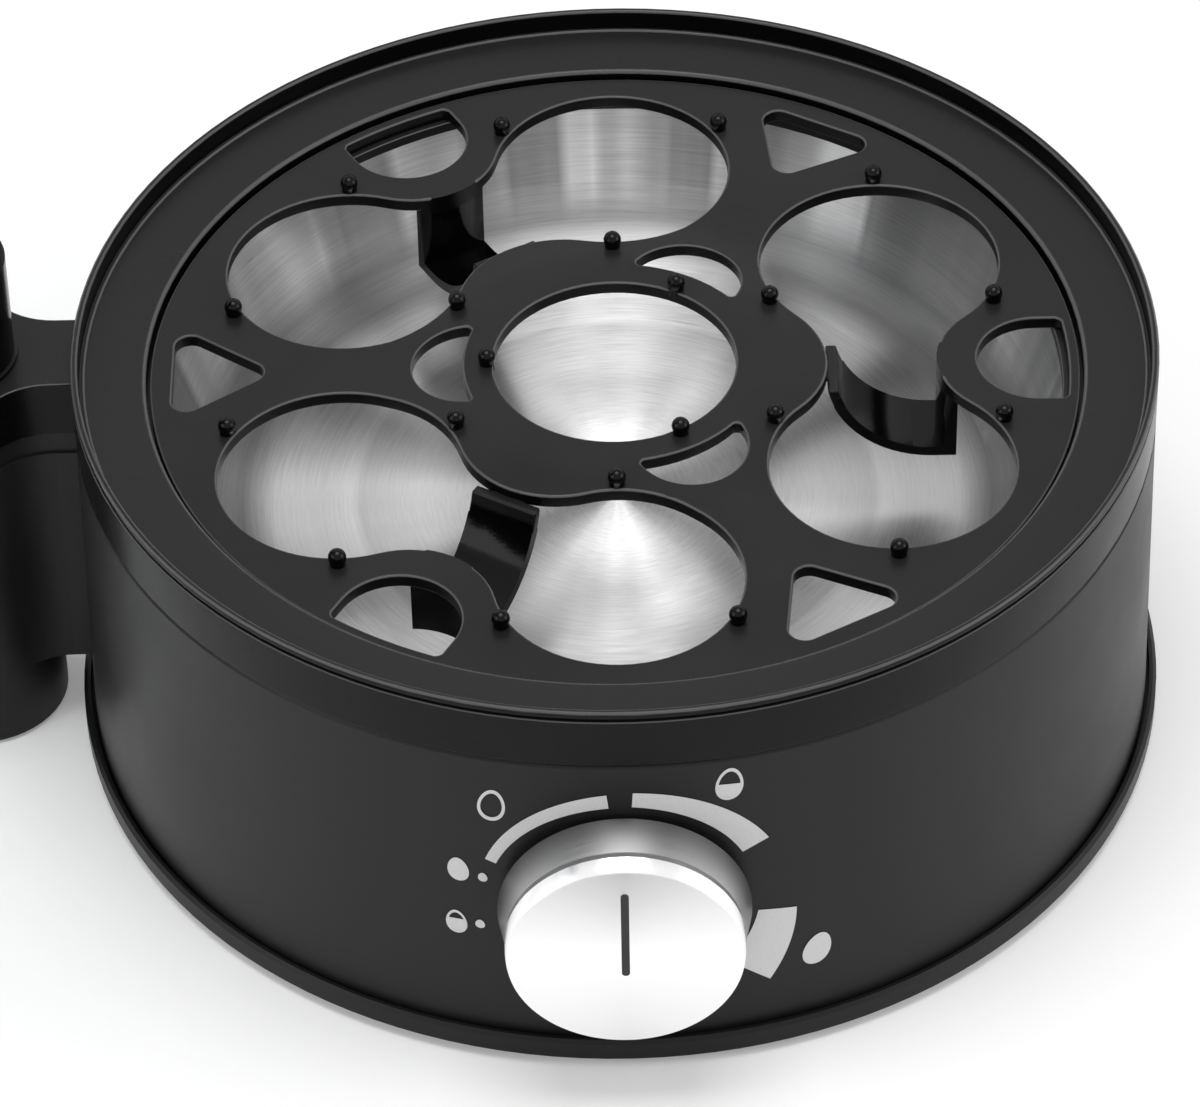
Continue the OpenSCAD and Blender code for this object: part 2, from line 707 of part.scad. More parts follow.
// Sling under a neck: a curved strip from the inner lobe to a leg below the outer lobe
module sling() {
    z0 = tray_top - sling_depth;
    bow = outer_tip - inner_tip;
    over = 1.4;
    intersection() {
        translate([0, sling_w / 2, 0]) rotate([90, 0, 0]) linear_extrude(sling_w) {
            intersection() {
                difference() {
                    translate([outer_tip - 0.6, z0 + bow]) circle(bow);
                    translate([outer_tip - 0.6, z0 + bow]) circle(bow - sling_t);
                }
                translate([0, z0 - 1]) square([outer_tip - 0.6, shelf_z + hub_rise - z0 + 1]);
            }
            translate([outer_tip - 0.6 - eps, z0]) square([3.6, sling_t]);
        }
        translate([0, 0, z0 - 1]) linear_extrude(big) difference() {
            circle(big);
            translate([outer_lobe, 0]) circle(outer_lobe_r - sling_t);
        }
    }
    intersection() {
        translate([outer_lobe, 0, z0]) linear_extrude(shelf_z + over - z0) difference() {
            circle(outer_lobe_r);
            circle(outer_lobe_r - sling_t);
        }
        translate([0, -sling_w / 2, 0]) cube([outer_lobe, sling_w, big]);
    }
}

// The tray's plate: an even sheet that rises to the hub
module tray_plate() intersection() {
    translate([0, 0, shelf_z - 1]) linear_extrude(tray_t + hub_rise + 2) tray_outline();
    rotate_extrude($fn = 180) polygon(concat(
        [for (p = [[0, hub_rise], [hub_r, hub_rise], [hub_foot_r, 0], [tray_r + 1, 0]])
            [p[0], shelf_z + p[1]]],
        [for (p = [[tray_r + 1, 0], [hub_foot_r, 0], [hub_r, hub_rise], [0, hub_rise]])
            [p[0], tray_top + p[1]]]));
}

module egg_tray() color("#1b1b1d") {
    tray_plate();
    pins();
    for (a = [0, 120, 240]) rotate(a) sling();
}

// ---------------------------------------------------------------- lid, drawn closed and swung open

lid_z = ring_out_z + lid_lift;
lid_r = lip_in_r - lid_gap;
dome_foot_r = lid_r - 3;
shoulder_z = lid_z + dome_h - shoulder_r;
shoulder_x = dome_foot_r - 0.6 - shoulder_r;
crown_z = shoulder_z - sqrt(pow(crown_r - shoulder_r, 2) - pow(shoulder_x, 2));
dome_foot_z = lid_z + 1.2;
dome_top = crown_z + crown_r;
saddle_lo = lid_z + 14;
saddle_hi = shoulder_z - 1;
saddle_t = 2.6;
bush_r = pin_r + 1.4;
lid_screw_r = 1.9;
lid_screw_len = 10;
lid_knob_h = 18;
grip_r = 17;
grip_t = 8;
waist = 6;

function dome_r(z) = dome_foot_r - 0.6 * (z - dome_foot_z) / (shoulder_z - dome_foot_z);

module open_lid() translate([column_x, 0, hinge_z]) rotate([0, -lid_open, 0])
    translate([-column_x, 0, -hinge_z]) children();

// Profile of the dome, drawn inwards by inset: the crown's disc between the walls, with the
// corner outside the shoulder's circle cut away
module dome_profile(inset) {
    u = [shoulder_x, shoulder_z - crown_z] / (crown_r - shoulder_r);
    edge = shoulder_x + shoulder_r - inset;
    difference() {
        intersection() {
            translate([0, crown_z]) circle(crown_r - inset, $fn = 360);
            polygon([[0, dome_foot_z - inset], [dome_foot_r - inset, dome_foot_z - inset],
                [edge, shoulder_z], [edge, big], [0, big]]);
        }
        difference() {
            translate([shoulder_x, shoulder_z])
                polygon([[0, 0], [2 * crown_r, 0], 2 * crown_r * (u + [1, 0]), 2 * crown_r * u]);
            translate([shoulder_x, shoulder_z]) circle(shoulder_r - inset, $fn = 180);
        }
    }
}

module lid_dome() color([0.75, 0.78, 0.8, 0.4]) open_lid() difference() {
    rotate_extrude($fn = 180) dome_profile(0);
    rotate_extrude($fn = 180) dome_profile(dome_t);
    // steam vents
    for (a = [-28, 0, 28]) rotate(a) translate([34, 0, shoulder_z]) cylinder(h = big, r = 1.8, $fn = 32);
    cylinder(h = big, r = lid_screw_r + 0.3, $fn = 48);
    arm_screws() cylinder(h = 12, r = 1.4 + slip, $fn = 32);
}

module lid_rim() color("#1a1a1c") open_lid() rotate_extrude($fn = 180) polygon([
    [dome_foot_r - dome_t - 2, lid_z], [lid_r - 0.5, lid_z], [lid_r, lid_z + 0.5], [lid_r, lid_z + 2.6],
    [dome_foot_r + 1.1, lid_z + 6], [dome_foot_r + 0.3, lid_z + 6], [dome_foot_r + 0.3, dome_foot_z],
    [dome_foot_r - dome_t - 0.3, dome_foot_z], [dome_foot_r - dome_t - 0.3, lid_z + 3.2],
    [dome_foot_r - dome_t - 1.2, lid_z + 3.2], [dome_foot_r - dome_t - 2, lid_z + 2.4]]);

// Places children at the two arm screws: z runs inwards from outside the saddle
module arm_screws() for (s = [-1, 1])
    rotate(180 + s * 9) translate([dome_r(saddle_lo) + saddle_t + 0.2, 0, (saddle_lo + saddle_hi) / 2])
        rotate([0, -90, 0]) children();

module lid_arm() color("#1a1a1c") open_lid() difference() {
    union() {
        // saddle on the dome
        intersection() {
            translate([0, 0, saddle_lo])
                cylinder(h = saddle_hi - saddle_lo, r = dome_r(saddle_lo) + saddle_t + 0.2, $fn = 180);
            translate([0, 0, saddle_lo - 1]) linear_extrude(big)
                polygon([[0, 0], 2 * rim_r * [-1, 0.27], 2 * rim_r * [-1, -0.27]]);
        }
        // gusseted bar from saddle to knuckle
        translate([0, arm_w / 2, 0]) rotate([90, 0, 0]) linear_extrude(arm_w) {
            translate([column_x, hinge_z]) circle(knuckle_r);
            polygon([[column_x, hinge_z - knuckle_r], [column_x + post_r + 1, hinge_z - knuckle_r],
                [-dome_r(saddle_lo) - 1, saddle_lo + 1], [-dome_r(saddle_lo) - 1, saddle_hi - 0.5],
                [column_x + knuckle_r * sin(12), hinge_z + knuckle_r * cos(12)]]);
        }
    }
    rotate_extrude($fn = 180) polygon([[0, saddle_lo - 5], [dome_r(saddle_lo - 5) + 0.1, saddle_lo - 5],
        [dome_r(shoulder_z) + 0.1, shoulder_z], [dome_r(shoulder_z) + 0.1, big], [0, big]]);
    translate([column_x, 50, hinge_z]) rotate([90, 0, 0]) cylinder(h = 100, r = bush_r + 0.02, $fn = 48);
    arm_screws() translate([0, 0, -1]) cylinder(h = 12, r = 1.4 + run, $fn = 32);
}

module hinge_bush() color("#e8e4d8") open_lid() translate([column_x, 0, hinge_z]) rotate([90, 0, 0])
difference() {
    cylinder(h = arm_w + 0.2, r = bush_r, center = true, $fn = 48);
    cylinder(h = 100, r = pin_r + run, center = true, $fn = 48);
}

module lid_screws() color("silver") open_lid() arm_screws() {
    screw(1.4, saddle_t + dome_t + 1.7, 2.6, 1.2);
    translate([0, 0, saddle_t + dome_t + 0.5]) difference() {
        soft_disc(2.6, 1.8, 0.8);
        translate([0, 0, -1]) cylinder(h = 2, r = 1.4 - eps, $fn = 32);
    }
}

module lid_knob() color("#1a1a1c") open_lid() translate([0, 0, dome_top]) difference() {
    rotate_extrude() {
        difference() {
            square([grip_r - 5, lid_knob_h - grip_t + 2]);
            translate([grip_r - 2.5, waist]) circle(waist);
        }
        translate([0, lid_knob_h - grip_t]) square([grip_r - 3, grip_t]);
        translate([0, lid_knob_h - 5]) square([grip_r, 2]);
        for (z = [3, 5]) translate([grip_r - 3, lid_knob_h - z]) circle(3, $fn = 48);
    }
    translate([0, 0, -1]) cylinder(h = lid_screw_len + 3, r = lid_screw_r + run, $fn = 48);
}

module lid_knob_screw() color("silver") open_lid() translate([0, 0, dome_top - dome_t - 0.08])
    screw(lid_screw_r, dome_t + lid_screw_len, 4, 2);

housing();
collar();
base_plate();
rubber_feet();
base_screws();
column_foot();
heating_dish();
dish_gasket();
dish_screws();
heat_plate();
heating_element();
element_clamp();
clamp_nut();
thermostat();
thermal_fuse();
regulator_body();
regulator_nut();
buzzer();
terminal_block();
cord_gland();
inner_leads();
hinge_post();
post_screw();
hinge_pin();
control_shaft();
knob_drum();
knob_cap();
knob_pointer();
egg_tray();
lid_dome();
lid_rim();
lid_arm();
lid_screws();
lid_knob();
lid_knob_screw();
hinge_bush();
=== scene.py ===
"""Looks of the egg cooker: camera, materials, printed scale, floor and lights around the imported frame."""

import math

import bmesh
import bpy
from mathutils import Matrix, Vector


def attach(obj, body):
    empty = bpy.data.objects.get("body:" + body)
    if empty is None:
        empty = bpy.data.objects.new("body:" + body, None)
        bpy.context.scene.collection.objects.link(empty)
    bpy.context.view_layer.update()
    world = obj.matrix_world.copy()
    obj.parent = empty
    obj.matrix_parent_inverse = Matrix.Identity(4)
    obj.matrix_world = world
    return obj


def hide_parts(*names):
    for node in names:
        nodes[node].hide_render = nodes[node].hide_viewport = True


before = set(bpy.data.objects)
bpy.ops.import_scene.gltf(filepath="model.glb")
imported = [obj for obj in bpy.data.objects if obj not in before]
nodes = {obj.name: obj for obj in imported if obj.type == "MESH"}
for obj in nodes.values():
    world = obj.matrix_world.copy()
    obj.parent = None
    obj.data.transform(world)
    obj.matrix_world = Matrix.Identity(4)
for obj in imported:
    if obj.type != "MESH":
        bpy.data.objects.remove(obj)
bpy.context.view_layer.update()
scene = bpy.context.scene
scene.view_settings.view_transform = "Standard"
MM = 0.001

# ------------------------------------------------------------------ camera

IMAGE_W, IMAGE_H = 1200, 1107
AXIS_ROW = 553.0  # row of the image that the camera's axis meets, in pixels
FOCAL_PX = 6043.4946
SENSOR = 36.0  # width, in millimetres
ELEVATION, TURN, ROLL = 42.334751, 0.174818, -1.166604  # in degrees
DISTANCE, SIDE, RISE = 1000.0, -3.065066, -35.690031  # from the middle of the rim, in millimetres
RIM_TOP = 77.0


def make_camera():
    """The camera of the main view, placed from the middle of the rim."""
    e, t, r = (math.radians(a) for a in (ELEVATION, TURN, ROLL))
    back = Vector((math.sin(t) * math.cos(e), -math.cos(t) * math.cos(e), math.sin(e)))
    right = Vector((math.cos(t), math.sin(t), 0.0))
    up = back.cross(right)
    place = back * DISTANCE + right * SIDE + up * RISE + Vector((0, 0, RIM_TOP))
    x = right * math.cos(r) + up * math.sin(r)
    y = up * math.cos(r) - right * math.sin(r)
    cam = bpy.data.cameras.new("camera")
    cam.sensor_fit = "HORIZONTAL"
    cam.sensor_width = SENSOR
    cam.lens = FOCAL_PX / IMAGE_W * SENSOR
    cam.shift_y = -(IMAGE_H / 2 - AXIS_ROW) / IMAGE_W
    cam.clip_start, cam.clip_end = 0.05, 20.0
    obj = bpy.data.objects.new("camera", cam)
    scene.collection.objects.link(obj)
    obj.matrix_world = Matrix.Translation(place * MM) @ Matrix((x, y, back)).transposed().to_4x4()
    scene.camera = obj


make_camera()

# ------------------------------------------------------------------ sizes of the part, in millimetres

KNOB_Z = 35.0  # height of the knob's axis
CAP_FRONT, CAP_LEN, CAP_R = -102.3, 5.0, 19.2  # front face, length and radius of the knob's cap
TRAY_TOP = 70.9  # top of the tray's plate outside its raised middle
PLATE_LOW = 66.0  # height under which only the tray's slings reach
HUB_RISE, HUB_R, HUB_FOOT_R = 1.0, 26.8, 37.9  # the raised middle: height, radius at its top and at its foot

# ------------------------------------------------------------------ material kit


class Kit:
    """A node material with one Principled shader, and short calls to add nodes to it."""

    def __init__(self, name, color, rough, metallic=0.0, **sockets):
        self.mat = bpy.data.materials.new(name)
        self.mat.use_nodes = True
        self.tree = self.mat.node_tree
        self.shader = self.tree.nodes["Principled BSDF"]
        self.set("Base Color", (*color, 1.0))
        self.set("Roughness", rough)
        self.set("Metallic", metallic)
        for key, value in sockets.items():
            self.set(key.replace("_", " "), value)

    def set(self, socket, value):
        self.shader.inputs[socket].default_value = value

    def add(self, kind, inputs=None, **props):
        node = self.tree.nodes.new(kind)
        for key, value in props.items():
            setattr(node, key, value)
        for key, value in (inputs or {}).items():
            if isinstance(value, bpy.types.NodeSocket):
                self.tree.links.new(value, node.inputs[key])
            else:
                node.inputs[key].default_value = value
        return node

    def link(self, out, socket):
        self.tree.links.new(out, self.shader.inputs[socket])

    def coords(self):
        """Place on the piece, in metres, in the part's own frame."""
        return self.add("ShaderNodeTexCoord").outputs["Object"]

    def noise(self, vector, scale, detail=2.0, rough=0.5):
        inputs = {"Vector": vector, "Scale": scale, "Detail": detail, "Roughness": rough}
        return self.add("ShaderNodeTexNoise", inputs).outputs["Fac"]

    def math(self, op, a, b=0.0, c=0.0):
        return self.add("ShaderNodeMath", {0: a, 1: b, 2: c}, operation=op).outputs[0]

    def span(self, value, lo, hi, to_lo, to_hi):
        """Maps value from lo..hi to to_lo..to_hi, clamped."""
        inputs = {"Value": value, "From Min": lo, "From Max": hi, "To Min": to_lo, "To Max": to_hi}
        return self.add("ShaderNodeMapRange", inputs).outputs["Result"]

    def ramp(self, value, *stops):
        """Colour along value: stops are (place, grey or colour)."""
        node = self.add("ShaderNodeValToRGB", {"Fac": value})
        points = node.color_ramp.elements
        while len(points) < len(stops):
            points.new(0.5)
        for point, (place, tone) in zip(points, stops):
            point.position = place
            point.color = (*tone, 1.0) if hasattr(tone, "__len__") else (tone, tone, tone, 1.0)
        return node.outputs["Color"]

    def bump(self, height, strength, depth):
        """Bump of that depth in metres."""
        node = self.add("ShaderNodeBump", {"Height": height, "Strength": strength, "Distance": depth})
        self.link(node.outputs["Normal"], "Normal")


OFF_TOP, OFF_WALL = (0.97, 0.86), (0.12, 0.4)  # upward share of the normal where an edge leaves top and wall


def edge_mask(k):
    """1 where a level surface rounds over into an upright one and 0 on the faces, and how far the normal is up."""
    up = k.add("ShaderNodeSeparateXYZ", {0: k.add("ShaderNodeTexCoord").outputs["Normal"]}).outputs[2]
    off_top = k.span(up, *OFF_TOP, 0.0, 1.0)
    off_wall = k.span(up, *OFF_WALL, 0.0, 1.0)
    return k.math("MULTIPLY", off_top, off_wall), up


def mixed(k, share, first, second):
    """Colour between two greys or colours, by share."""
    node = k.add("ShaderNodeMix", data_type="RGBA")
    for socket, value in zip([s for s in node.inputs if s.type == "RGBA"], (first, second)):
        if isinstance(value, bpy.types.NodeSocket):
            k.tree.links.new(value, socket)
        else:
            socket.default_value = (value, value, value, 1.0)
    k.tree.links.new(share, node.inputs["Factor"])
    return [out for out in node.outputs if out.type == "RGBA"][0]


def moulded(name, color, rough, grain=0.00004, grain_size=2600, level=0.3, wear=0.05):
    """Moulded plastic: fine spark texture, faint flow clouds in tone and sheen."""
    k = Kit(name, color, rough, Specular_IOR_Level=level)
    p = k.coords()
    cloud = k.noise(p, 38, 3.0)
    k.link(k.span(cloud, 0.3, 0.7, rough - wear, rough + wear), "Roughness")
    darker, lighter = (tuple(c * factor for c in color) for factor in (0.88, 1.14))
    k.link(k.ramp(cloud, (0.3, darker), (0.7, lighter)), "Base Color")
    k.bump(k.noise(p, grain_size, 2.0), 0.6, grain)
    return k


def spun(k):
    """Circular brushing round the upright axis: its value 0..1, the radius, the angle and the height."""
    x, y, z = k.add("ShaderNodeSeparateXYZ", {0: k.coords()}).outputs
    r = k.math("SQRT", k.math("ADD", k.math("MULTIPLY", x, x), k.math("MULTIPLY", y, y)))
    turn = k.math("ARCTAN2", y, x)
    along = k.math("ADD", r, k.math("MULTIPLY", z, 0.62))
    v = k.add("ShaderNodeCombineXYZ", {0: along, 1: k.math("MULTIPLY", turn, 0.0016)}).outputs[0]
    return k.noise(v, 2600.0, 4.0, 0.65), r, turn, z


# ------------------------------------------------------------------ materials

# Some tones below are painted light and shade that a room would give and the plain studio doesn't: painted
# reflections as wedges, ring, brighter middle and bands on the dish, painted shade on its very middle and its
# bend, the painted reflection band on the knob's cap, painted highlights on the rounded edges of tray, collar and
# post, painted light on the upward faces of collar and post, painted shade on their upright faces and on the
# tray's upright walls, pins and slings, and painted shade on the back of the knob's drum. They are fixed in the
# part's own frame and never follow the camera.

# Spans along which a tone changes, in metres
SHADE_RING_R = (0.034, 0.056)  # ring of painted shade on the dish's floor, standing for a dark reflection
BRIGHT_R = (0.024, 0.036)  # end of the dish's brighter middle, a painted reflection
TIP_R = (0.002, 0.014)  # very middle of the dish, painted darker as shade over its highlight
DULL_R = (0.004, 0.024)  # end of its rougher middle
WALL_Z = (0.0452, 0.0535)  # from the dish's floor to its wall
BEND_R, BEND_Z = (0.058, 0.0635), (0.0465, 0.053)  # the bend between them, painted darker as shade
DRUM_Y = (-0.0905, -0.0985)  # knob drum, from the housing forwards, along which its painted shade fades
CAP_EDGE_Y = ((CAP_FRONT + 0.4) * MM, (CAP_FRONT + 0.8) * MM)  # from the cap's face to its rim
PIN_Z = ((TRAY_TOP + 0.1) * MM, (TRAY_TOP + 0.4) * MM)  # foot of the tray's pins
TRAY_EDGE_Z = ((TRAY_TOP - 0.6) * MM, (TRAY_TOP - 0.45) * MM)  # lower end of the plate's rounded edges
SLING_Z = (0.0672, 0.0679)  # top of the tray's slings
FLOOR_R = (0.35, 1.2)  # from here on outwards the floor turns fully white
FLOOR_LIFT = 0.2  # share of white that the near floor gives off towards camera and metal


def dish_steel():
    """Spun steel: circular brushing, with fixed painted reflections (light wedges, a darker ring and a brighter
    middle across the floor, upright bands on the wall) and painted shade on the very middle and on the bend.
    """
    k = Kit("dish_steel", (0.62, 0.62, 0.62), 0.3, 1.0, Anisotropic=0.9, Anisotropic_Rotation=0.25)
    streak, r, turn, z = spun(k)
    ring = k.add("ShaderNodeCombineXYZ", {0: k.math("COSINE", turn), 1: k.math("SINE", turn)}).outputs[0]
    # painted reflections: lighter and darker wedges round the floor
    swing = k.math("COSINE", k.math("MULTIPLY_ADD", turn, 2.0, 0.3))
    wedge = k.math("MULTIPLY_ADD", swing, -0.08, k.span(k.noise(ring, 2.6, 1.0, 0.4), 0.3, 0.7, 0.74, 1.05))
    # painted shade: a darker ring across the floor, standing for a dark reflection
    shade_ring = k.ramp(
        k.span(r, *SHADE_RING_R, 0.0, 1.0),
        (0.0, 1.0), (0.3, 0.86), (0.42, 0.8), (0.5, 0.98), (0.7, 0.9), (1.0, 1.0),
    )
    # painted reflection: the middle of the floor brighter
    floor = k.math("MULTIPLY", k.math("MULTIPLY", wedge, shade_ring), k.span(r, *BRIGHT_R, 1.12, 1.0))
    # painted shade: the very middle of the floor darker
    floor = k.math("MULTIPLY", floor, k.span(r, *TIP_R, 0.75, 1.0))
    # painted reflections: upright light and dark bands on the wall
    reflection_bands = k.ramp(
        k.noise(ring, 3.4, 2.0, 0.5),
        (0.3, 0.4), (0.42, 0.55), (0.47, 0.5), (0.53, 1.05), (0.58, 0.86), (0.7, 0.48),
    )
    shade = mixed(k, k.span(z, *WALL_Z, 0.0, 1.0), floor, reflection_bands)
    grain = k.span(streak, 0.28, 0.72, 0.7, 0.92)
    bend = k.math("MULTIPLY", k.span(r, *BEND_R, 0.0, 1.0), k.span(z, *BEND_Z, 1.0, 0.0))
    # painted shade: the bend darkened by up to half
    shade = k.math("MULTIPLY", shade, k.math("MULTIPLY_ADD", bend, -0.5, 1.0))
    k.link(k.math("MINIMUM", k.math("MULTIPLY", grain, shade), 0.97), "Base Color")
    dull = k.math("MULTIPLY_ADD", bend, 0.16, k.span(r, *DULL_R, 0.2, 0.0))
    k.link(k.math("ADD", dull, k.span(streak, 0.25, 0.75, 0.27, 0.37)), "Roughness")
    k.link(k.add("ShaderNodeTangent", direction_type="RADIAL", axis="Z").outputs[0], "Tangent")
    k.bump(streak, 0.25, 0.00002)
    return k.mat


def knob_satin():
    """Satin metal of the drum, with painted shade that darkens it towards the housing."""
    k = Kit("knob_satin_metal", (0.4, 0.4, 0.405), 0.4, 1.0)
    p = k.coords()
    streak = k.noise(k.add("ShaderNodeMapping", {"Vector": p, "Scale": (60, 3000, 60)}).outputs[0], 1.0, 3.0)
    y = k.add("ShaderNodeSeparateXYZ", {0: p}).outputs[1]
    # painted shade: darker towards the housing
    k.link(k.ramp(k.span(y, *DRUM_Y, 0.0, 1.0), (0.0, 0.1), (0.35, 0.24), (1.0, 0.56)), "Base Color")
    k.link(k.span(streak, 0.3, 0.7, 0.36, 0.43), "Roughness")
    k.bump(streak, 0.2, 0.00001)
    return k.mat


def knob_chrome():
    """Chrome of the cap: a painted reflection, a broad lighter band across the face, softly darker above and below
    it.
    """
    k = Kit("knob_chrome_plate", (0.87, 0.87, 0.875), 0.2, 1.0, Anisotropic=0.8, Anisotropic_Rotation=0.25)
    p = k.coords()
    k.link(k.span(k.noise(p, 90, 2.0), 0.3, 0.7, 0.2, 0.25), "Roughness")
    k.link(k.add("ShaderNodeTangent", direction_type="RADIAL", axis="Y").outputs[0], "Tangent")
    x, y, z = k.add("ShaderNodeSeparateXYZ", {0: p}).outputs
    spread = k.math("ADD", CAP_R * MM, k.math("ABSOLUTE", k.math("MULTIPLY", x, 0.9)))
    rise = k.math("DIVIDE", k.math("SUBTRACT", z, KNOB_Z * MM), spread)
    # painted reflection: lighter across the middle of the face, darker towards its top and bottom
    tone = k.ramp(
        k.span(rise, -1.0, 1.0, 0.0, 1.0),
        (0.0, 0.72), (0.2, 0.82), (0.45, 0.93), (0.56, 0.93), (0.8, 0.66), (1.0, 0.5),
    )
    k.link(mixed(k, k.span(y, *CAP_EDGE_Y, 0.0, 1.0), tone, 0.93), "Base Color")
    return k.mat


def steel(name, color=(0.55, 0.55, 0.56), rough=0.32):
    k = Kit(name, color, rough, 1.0)
    p = k.coords()
    k.link(k.span(k.noise(p, 600, 3.0), 0.3, 0.7, rough - 0.07, rough + 0.1), "Roughness")
    k.bump(k.noise(p, 2200, 2.0), 0.3, 0.00002)
    return k.mat


def element_metal():
    k = Kit("element_sheath", (0.24, 0.23, 0.22), 0.5, 1.0)
    tone = k.noise(k.coords(), 160, 4.0)
    k.link(k.ramp(tone, (0.3, (0.15, 0.14, 0.14)), (0.7, (0.36, 0.33, 0.29))), "Base Color")
    k.bump(k.noise(k.coords(), 1500, 2.0), 0.4, 0.00004)
    return k.mat


def printed():
    k = Kit("print_grey", (0.72, 0.72, 0.72), 0.5, Specular_IOR_Level=0.3)
    ink = k.noise(k.coords(), 2400, 2.0)
    k.link(k.ramp(ink, (0.2, 0.69), (0.8, 0.75)), "Base Color")
    return k.mat


def clear_dome():
    k = Kit("dome_clear", (0.85, 0.88, 0.89), 0.03, Transmission_Weight=1.0, IOR=1.49)
    k.link(k.span(k.noise(k.coords(), 30, 2.0), 0.3, 0.7, 0.015, 0.05), "Roughness")
    out = k.tree.nodes["Material Output"]
    shadow = k.add("ShaderNodeLightPath").outputs["Is Shadow Ray"]
    through = k.add("ShaderNodeBsdfTransparent", {"Color": (0.86, 0.88, 0.89, 1.0)}).outputs[0]
    mix = k.add("ShaderNodeMixShader", {0: shadow, 1: k.shader.outputs[0], 2: through})
    k.tree.links.new(mix.outputs[0], out.inputs["Surface"])
    return k.mat


def post_plastic():
    """Hinge post: polished black, with painted light where it faces up and painted highlights on its rounded
    edges.
    """
    k = moulded("post_moulded", (0.006, 0.006, 0.0065), 0.18, 0.00001, 900, 0.14, 0.03)
    edge, up = edge_mask(k)
    side, top = (0.0016, 0.0016, 0.0018), (0.018, 0.018, 0.0185)
    # painted light and shade: lighter where it faces up, darker where upright
    tone = k.ramp(k.span(up, 0.1, 0.7, 0.0, 1.0), (0.0, side), (1.0, top))
    # painted highlight on the rounded edges
    k.link(mixed(k, edge, tone, 0.05), "Base Color")
    return k.mat


def collar_plastic():
    """Ring of the rim: painted shade deepens the black of its upright band, painted light lifts its upward faces,
    and painted highlights lighten its rounded edges.
    """
    k = moulded("collar_moulded", (0.012, 0.012, 0.0125), 0.28, 0.00003, 1900, 0.15)
    edge, up = edge_mask(k)
    side, top = (0.002, 0.002, 0.0022), (0.016, 0.016, 0.0165)
    # painted light and shade: lighter where it faces up, darker where upright
    tone = k.ramp(k.span(up, 0.1, 0.5, 0.0, 1.0), (0.0, side), (1.0, top))
    # painted highlight on the rounded edges
    k.link(mixed(k, edge, tone, 0.095), "Base Color")
    return k.mat


def tray_plastic():
    """Satin top with polished pins and slings, told apart by height; pins, slings and upright walls painted darker
    as shade, and painted highlights on the plate's edges.
    """
    k = Kit("tray_moulded", (0.014, 0.014, 0.0145), 0.3, Specular_IOR_Level=0.15)
    p = k.coords()
    cloud = k.noise(p, 42, 3.0)
    x, y, z = k.add("ShaderNodeSeparateXYZ", {0: p}).outputs
    r = k.math("SQRT", k.math("MULTIPLY_ADD", x, x, k.math("MULTIPLY", y, y)))
    lift = k.span(r, HUB_R * MM, HUB_FOOT_R * MM, HUB_RISE * MM, 0.0)
    height = k.math("SUBTRACT", z, lift)
    polish = k.math("MAXIMUM", k.span(height, *PIN_Z, 0.0, 1.0), k.span(z, *SLING_Z, 1.0, 0.0))
    edge, up = edge_mask(k)
    satin = k.span(cloud, 0.3, 0.7, 0.27, 0.37)
    to_polish = k.math("SUBTRACT", 0.12, satin)
    k.link(k.math("MULTIPLY_ADD", to_polish, polish, satin), "Roughness")
    plain = k.ramp(cloud, (0.3, (0.012, 0.012, 0.0125)), (0.7, (0.0165, 0.0165, 0.017)))
    # painted shade: pins, slings and upright walls darker than the top
    dark = mixed(k, k.math("MAXIMUM", polish, k.span(up, 0.5, 0.1, 0.0, 1.0)), plain, 0.0015)
    # painted highlight on the plate's rounded edges, not on pins or slings
    edge = k.math("MULTIPLY", edge, k.span(height, *TRAY_EDGE_Z, 0.0, 1.0))
    edge = k.math("MULTIPLY", edge, k.math("SUBTRACT", 1.0, polish))
    k.link(mixed(k, edge, dark, 0.105), "Base Color")
    k.bump(k.noise(p, 1700, 2.0), 0.35, 0.00003)
    return k.mat


def lead_sleeve():
    k = Kit("lead_sleeve", (0.42, 0.05, 0.035), 0.5)
    weave = k.noise(k.coords(), 1400, 3.0)
    k.link(k.ramp(weave, (0.3, (0.3, 0.035, 0.025)), (0.7, (0.52, 0.08, 0.05))), "Base Color")
    k.bump(weave, 0.5, 0.00006)
    return k.mat


def floor_white():
    """Pale floor: keeps shadows, and is lifted to white where the camera or metal sees it, fully so far away."""
    k = Kit("floor_white", (0.86, 0.86, 0.86), 0.9, Specular_IOR_Level=0.05)
    tone = k.noise(k.coords(), 3.0, 2.0)
    k.link(k.ramp(tone, (0.3, 0.855), (0.7, 0.865)), "Base Color")
    path = k.add("ShaderNodeLightPath").outputs
    seen = k.math("MAXIMUM", path["Is Camera Ray"], path["Is Glossy Ray"])
    seen = k.math("MAXIMUM", seen, path["Is Transmission Ray"])
    place = k.add("ShaderNodeNewGeometry").outputs["Position"]
    far = k.add("ShaderNodeVectorMath", {0: place}, operation="LENGTH").outputs["Value"]
    lift = k.span(far, *FLOOR_R, FLOOR_LIFT, 1.0)
    k.link(k.math("MULTIPLY", seen, lift), "Emission Strength")
    k.set("Emission Color", (1.0, 1.0, 1.0, 1.0))
    return k.mat


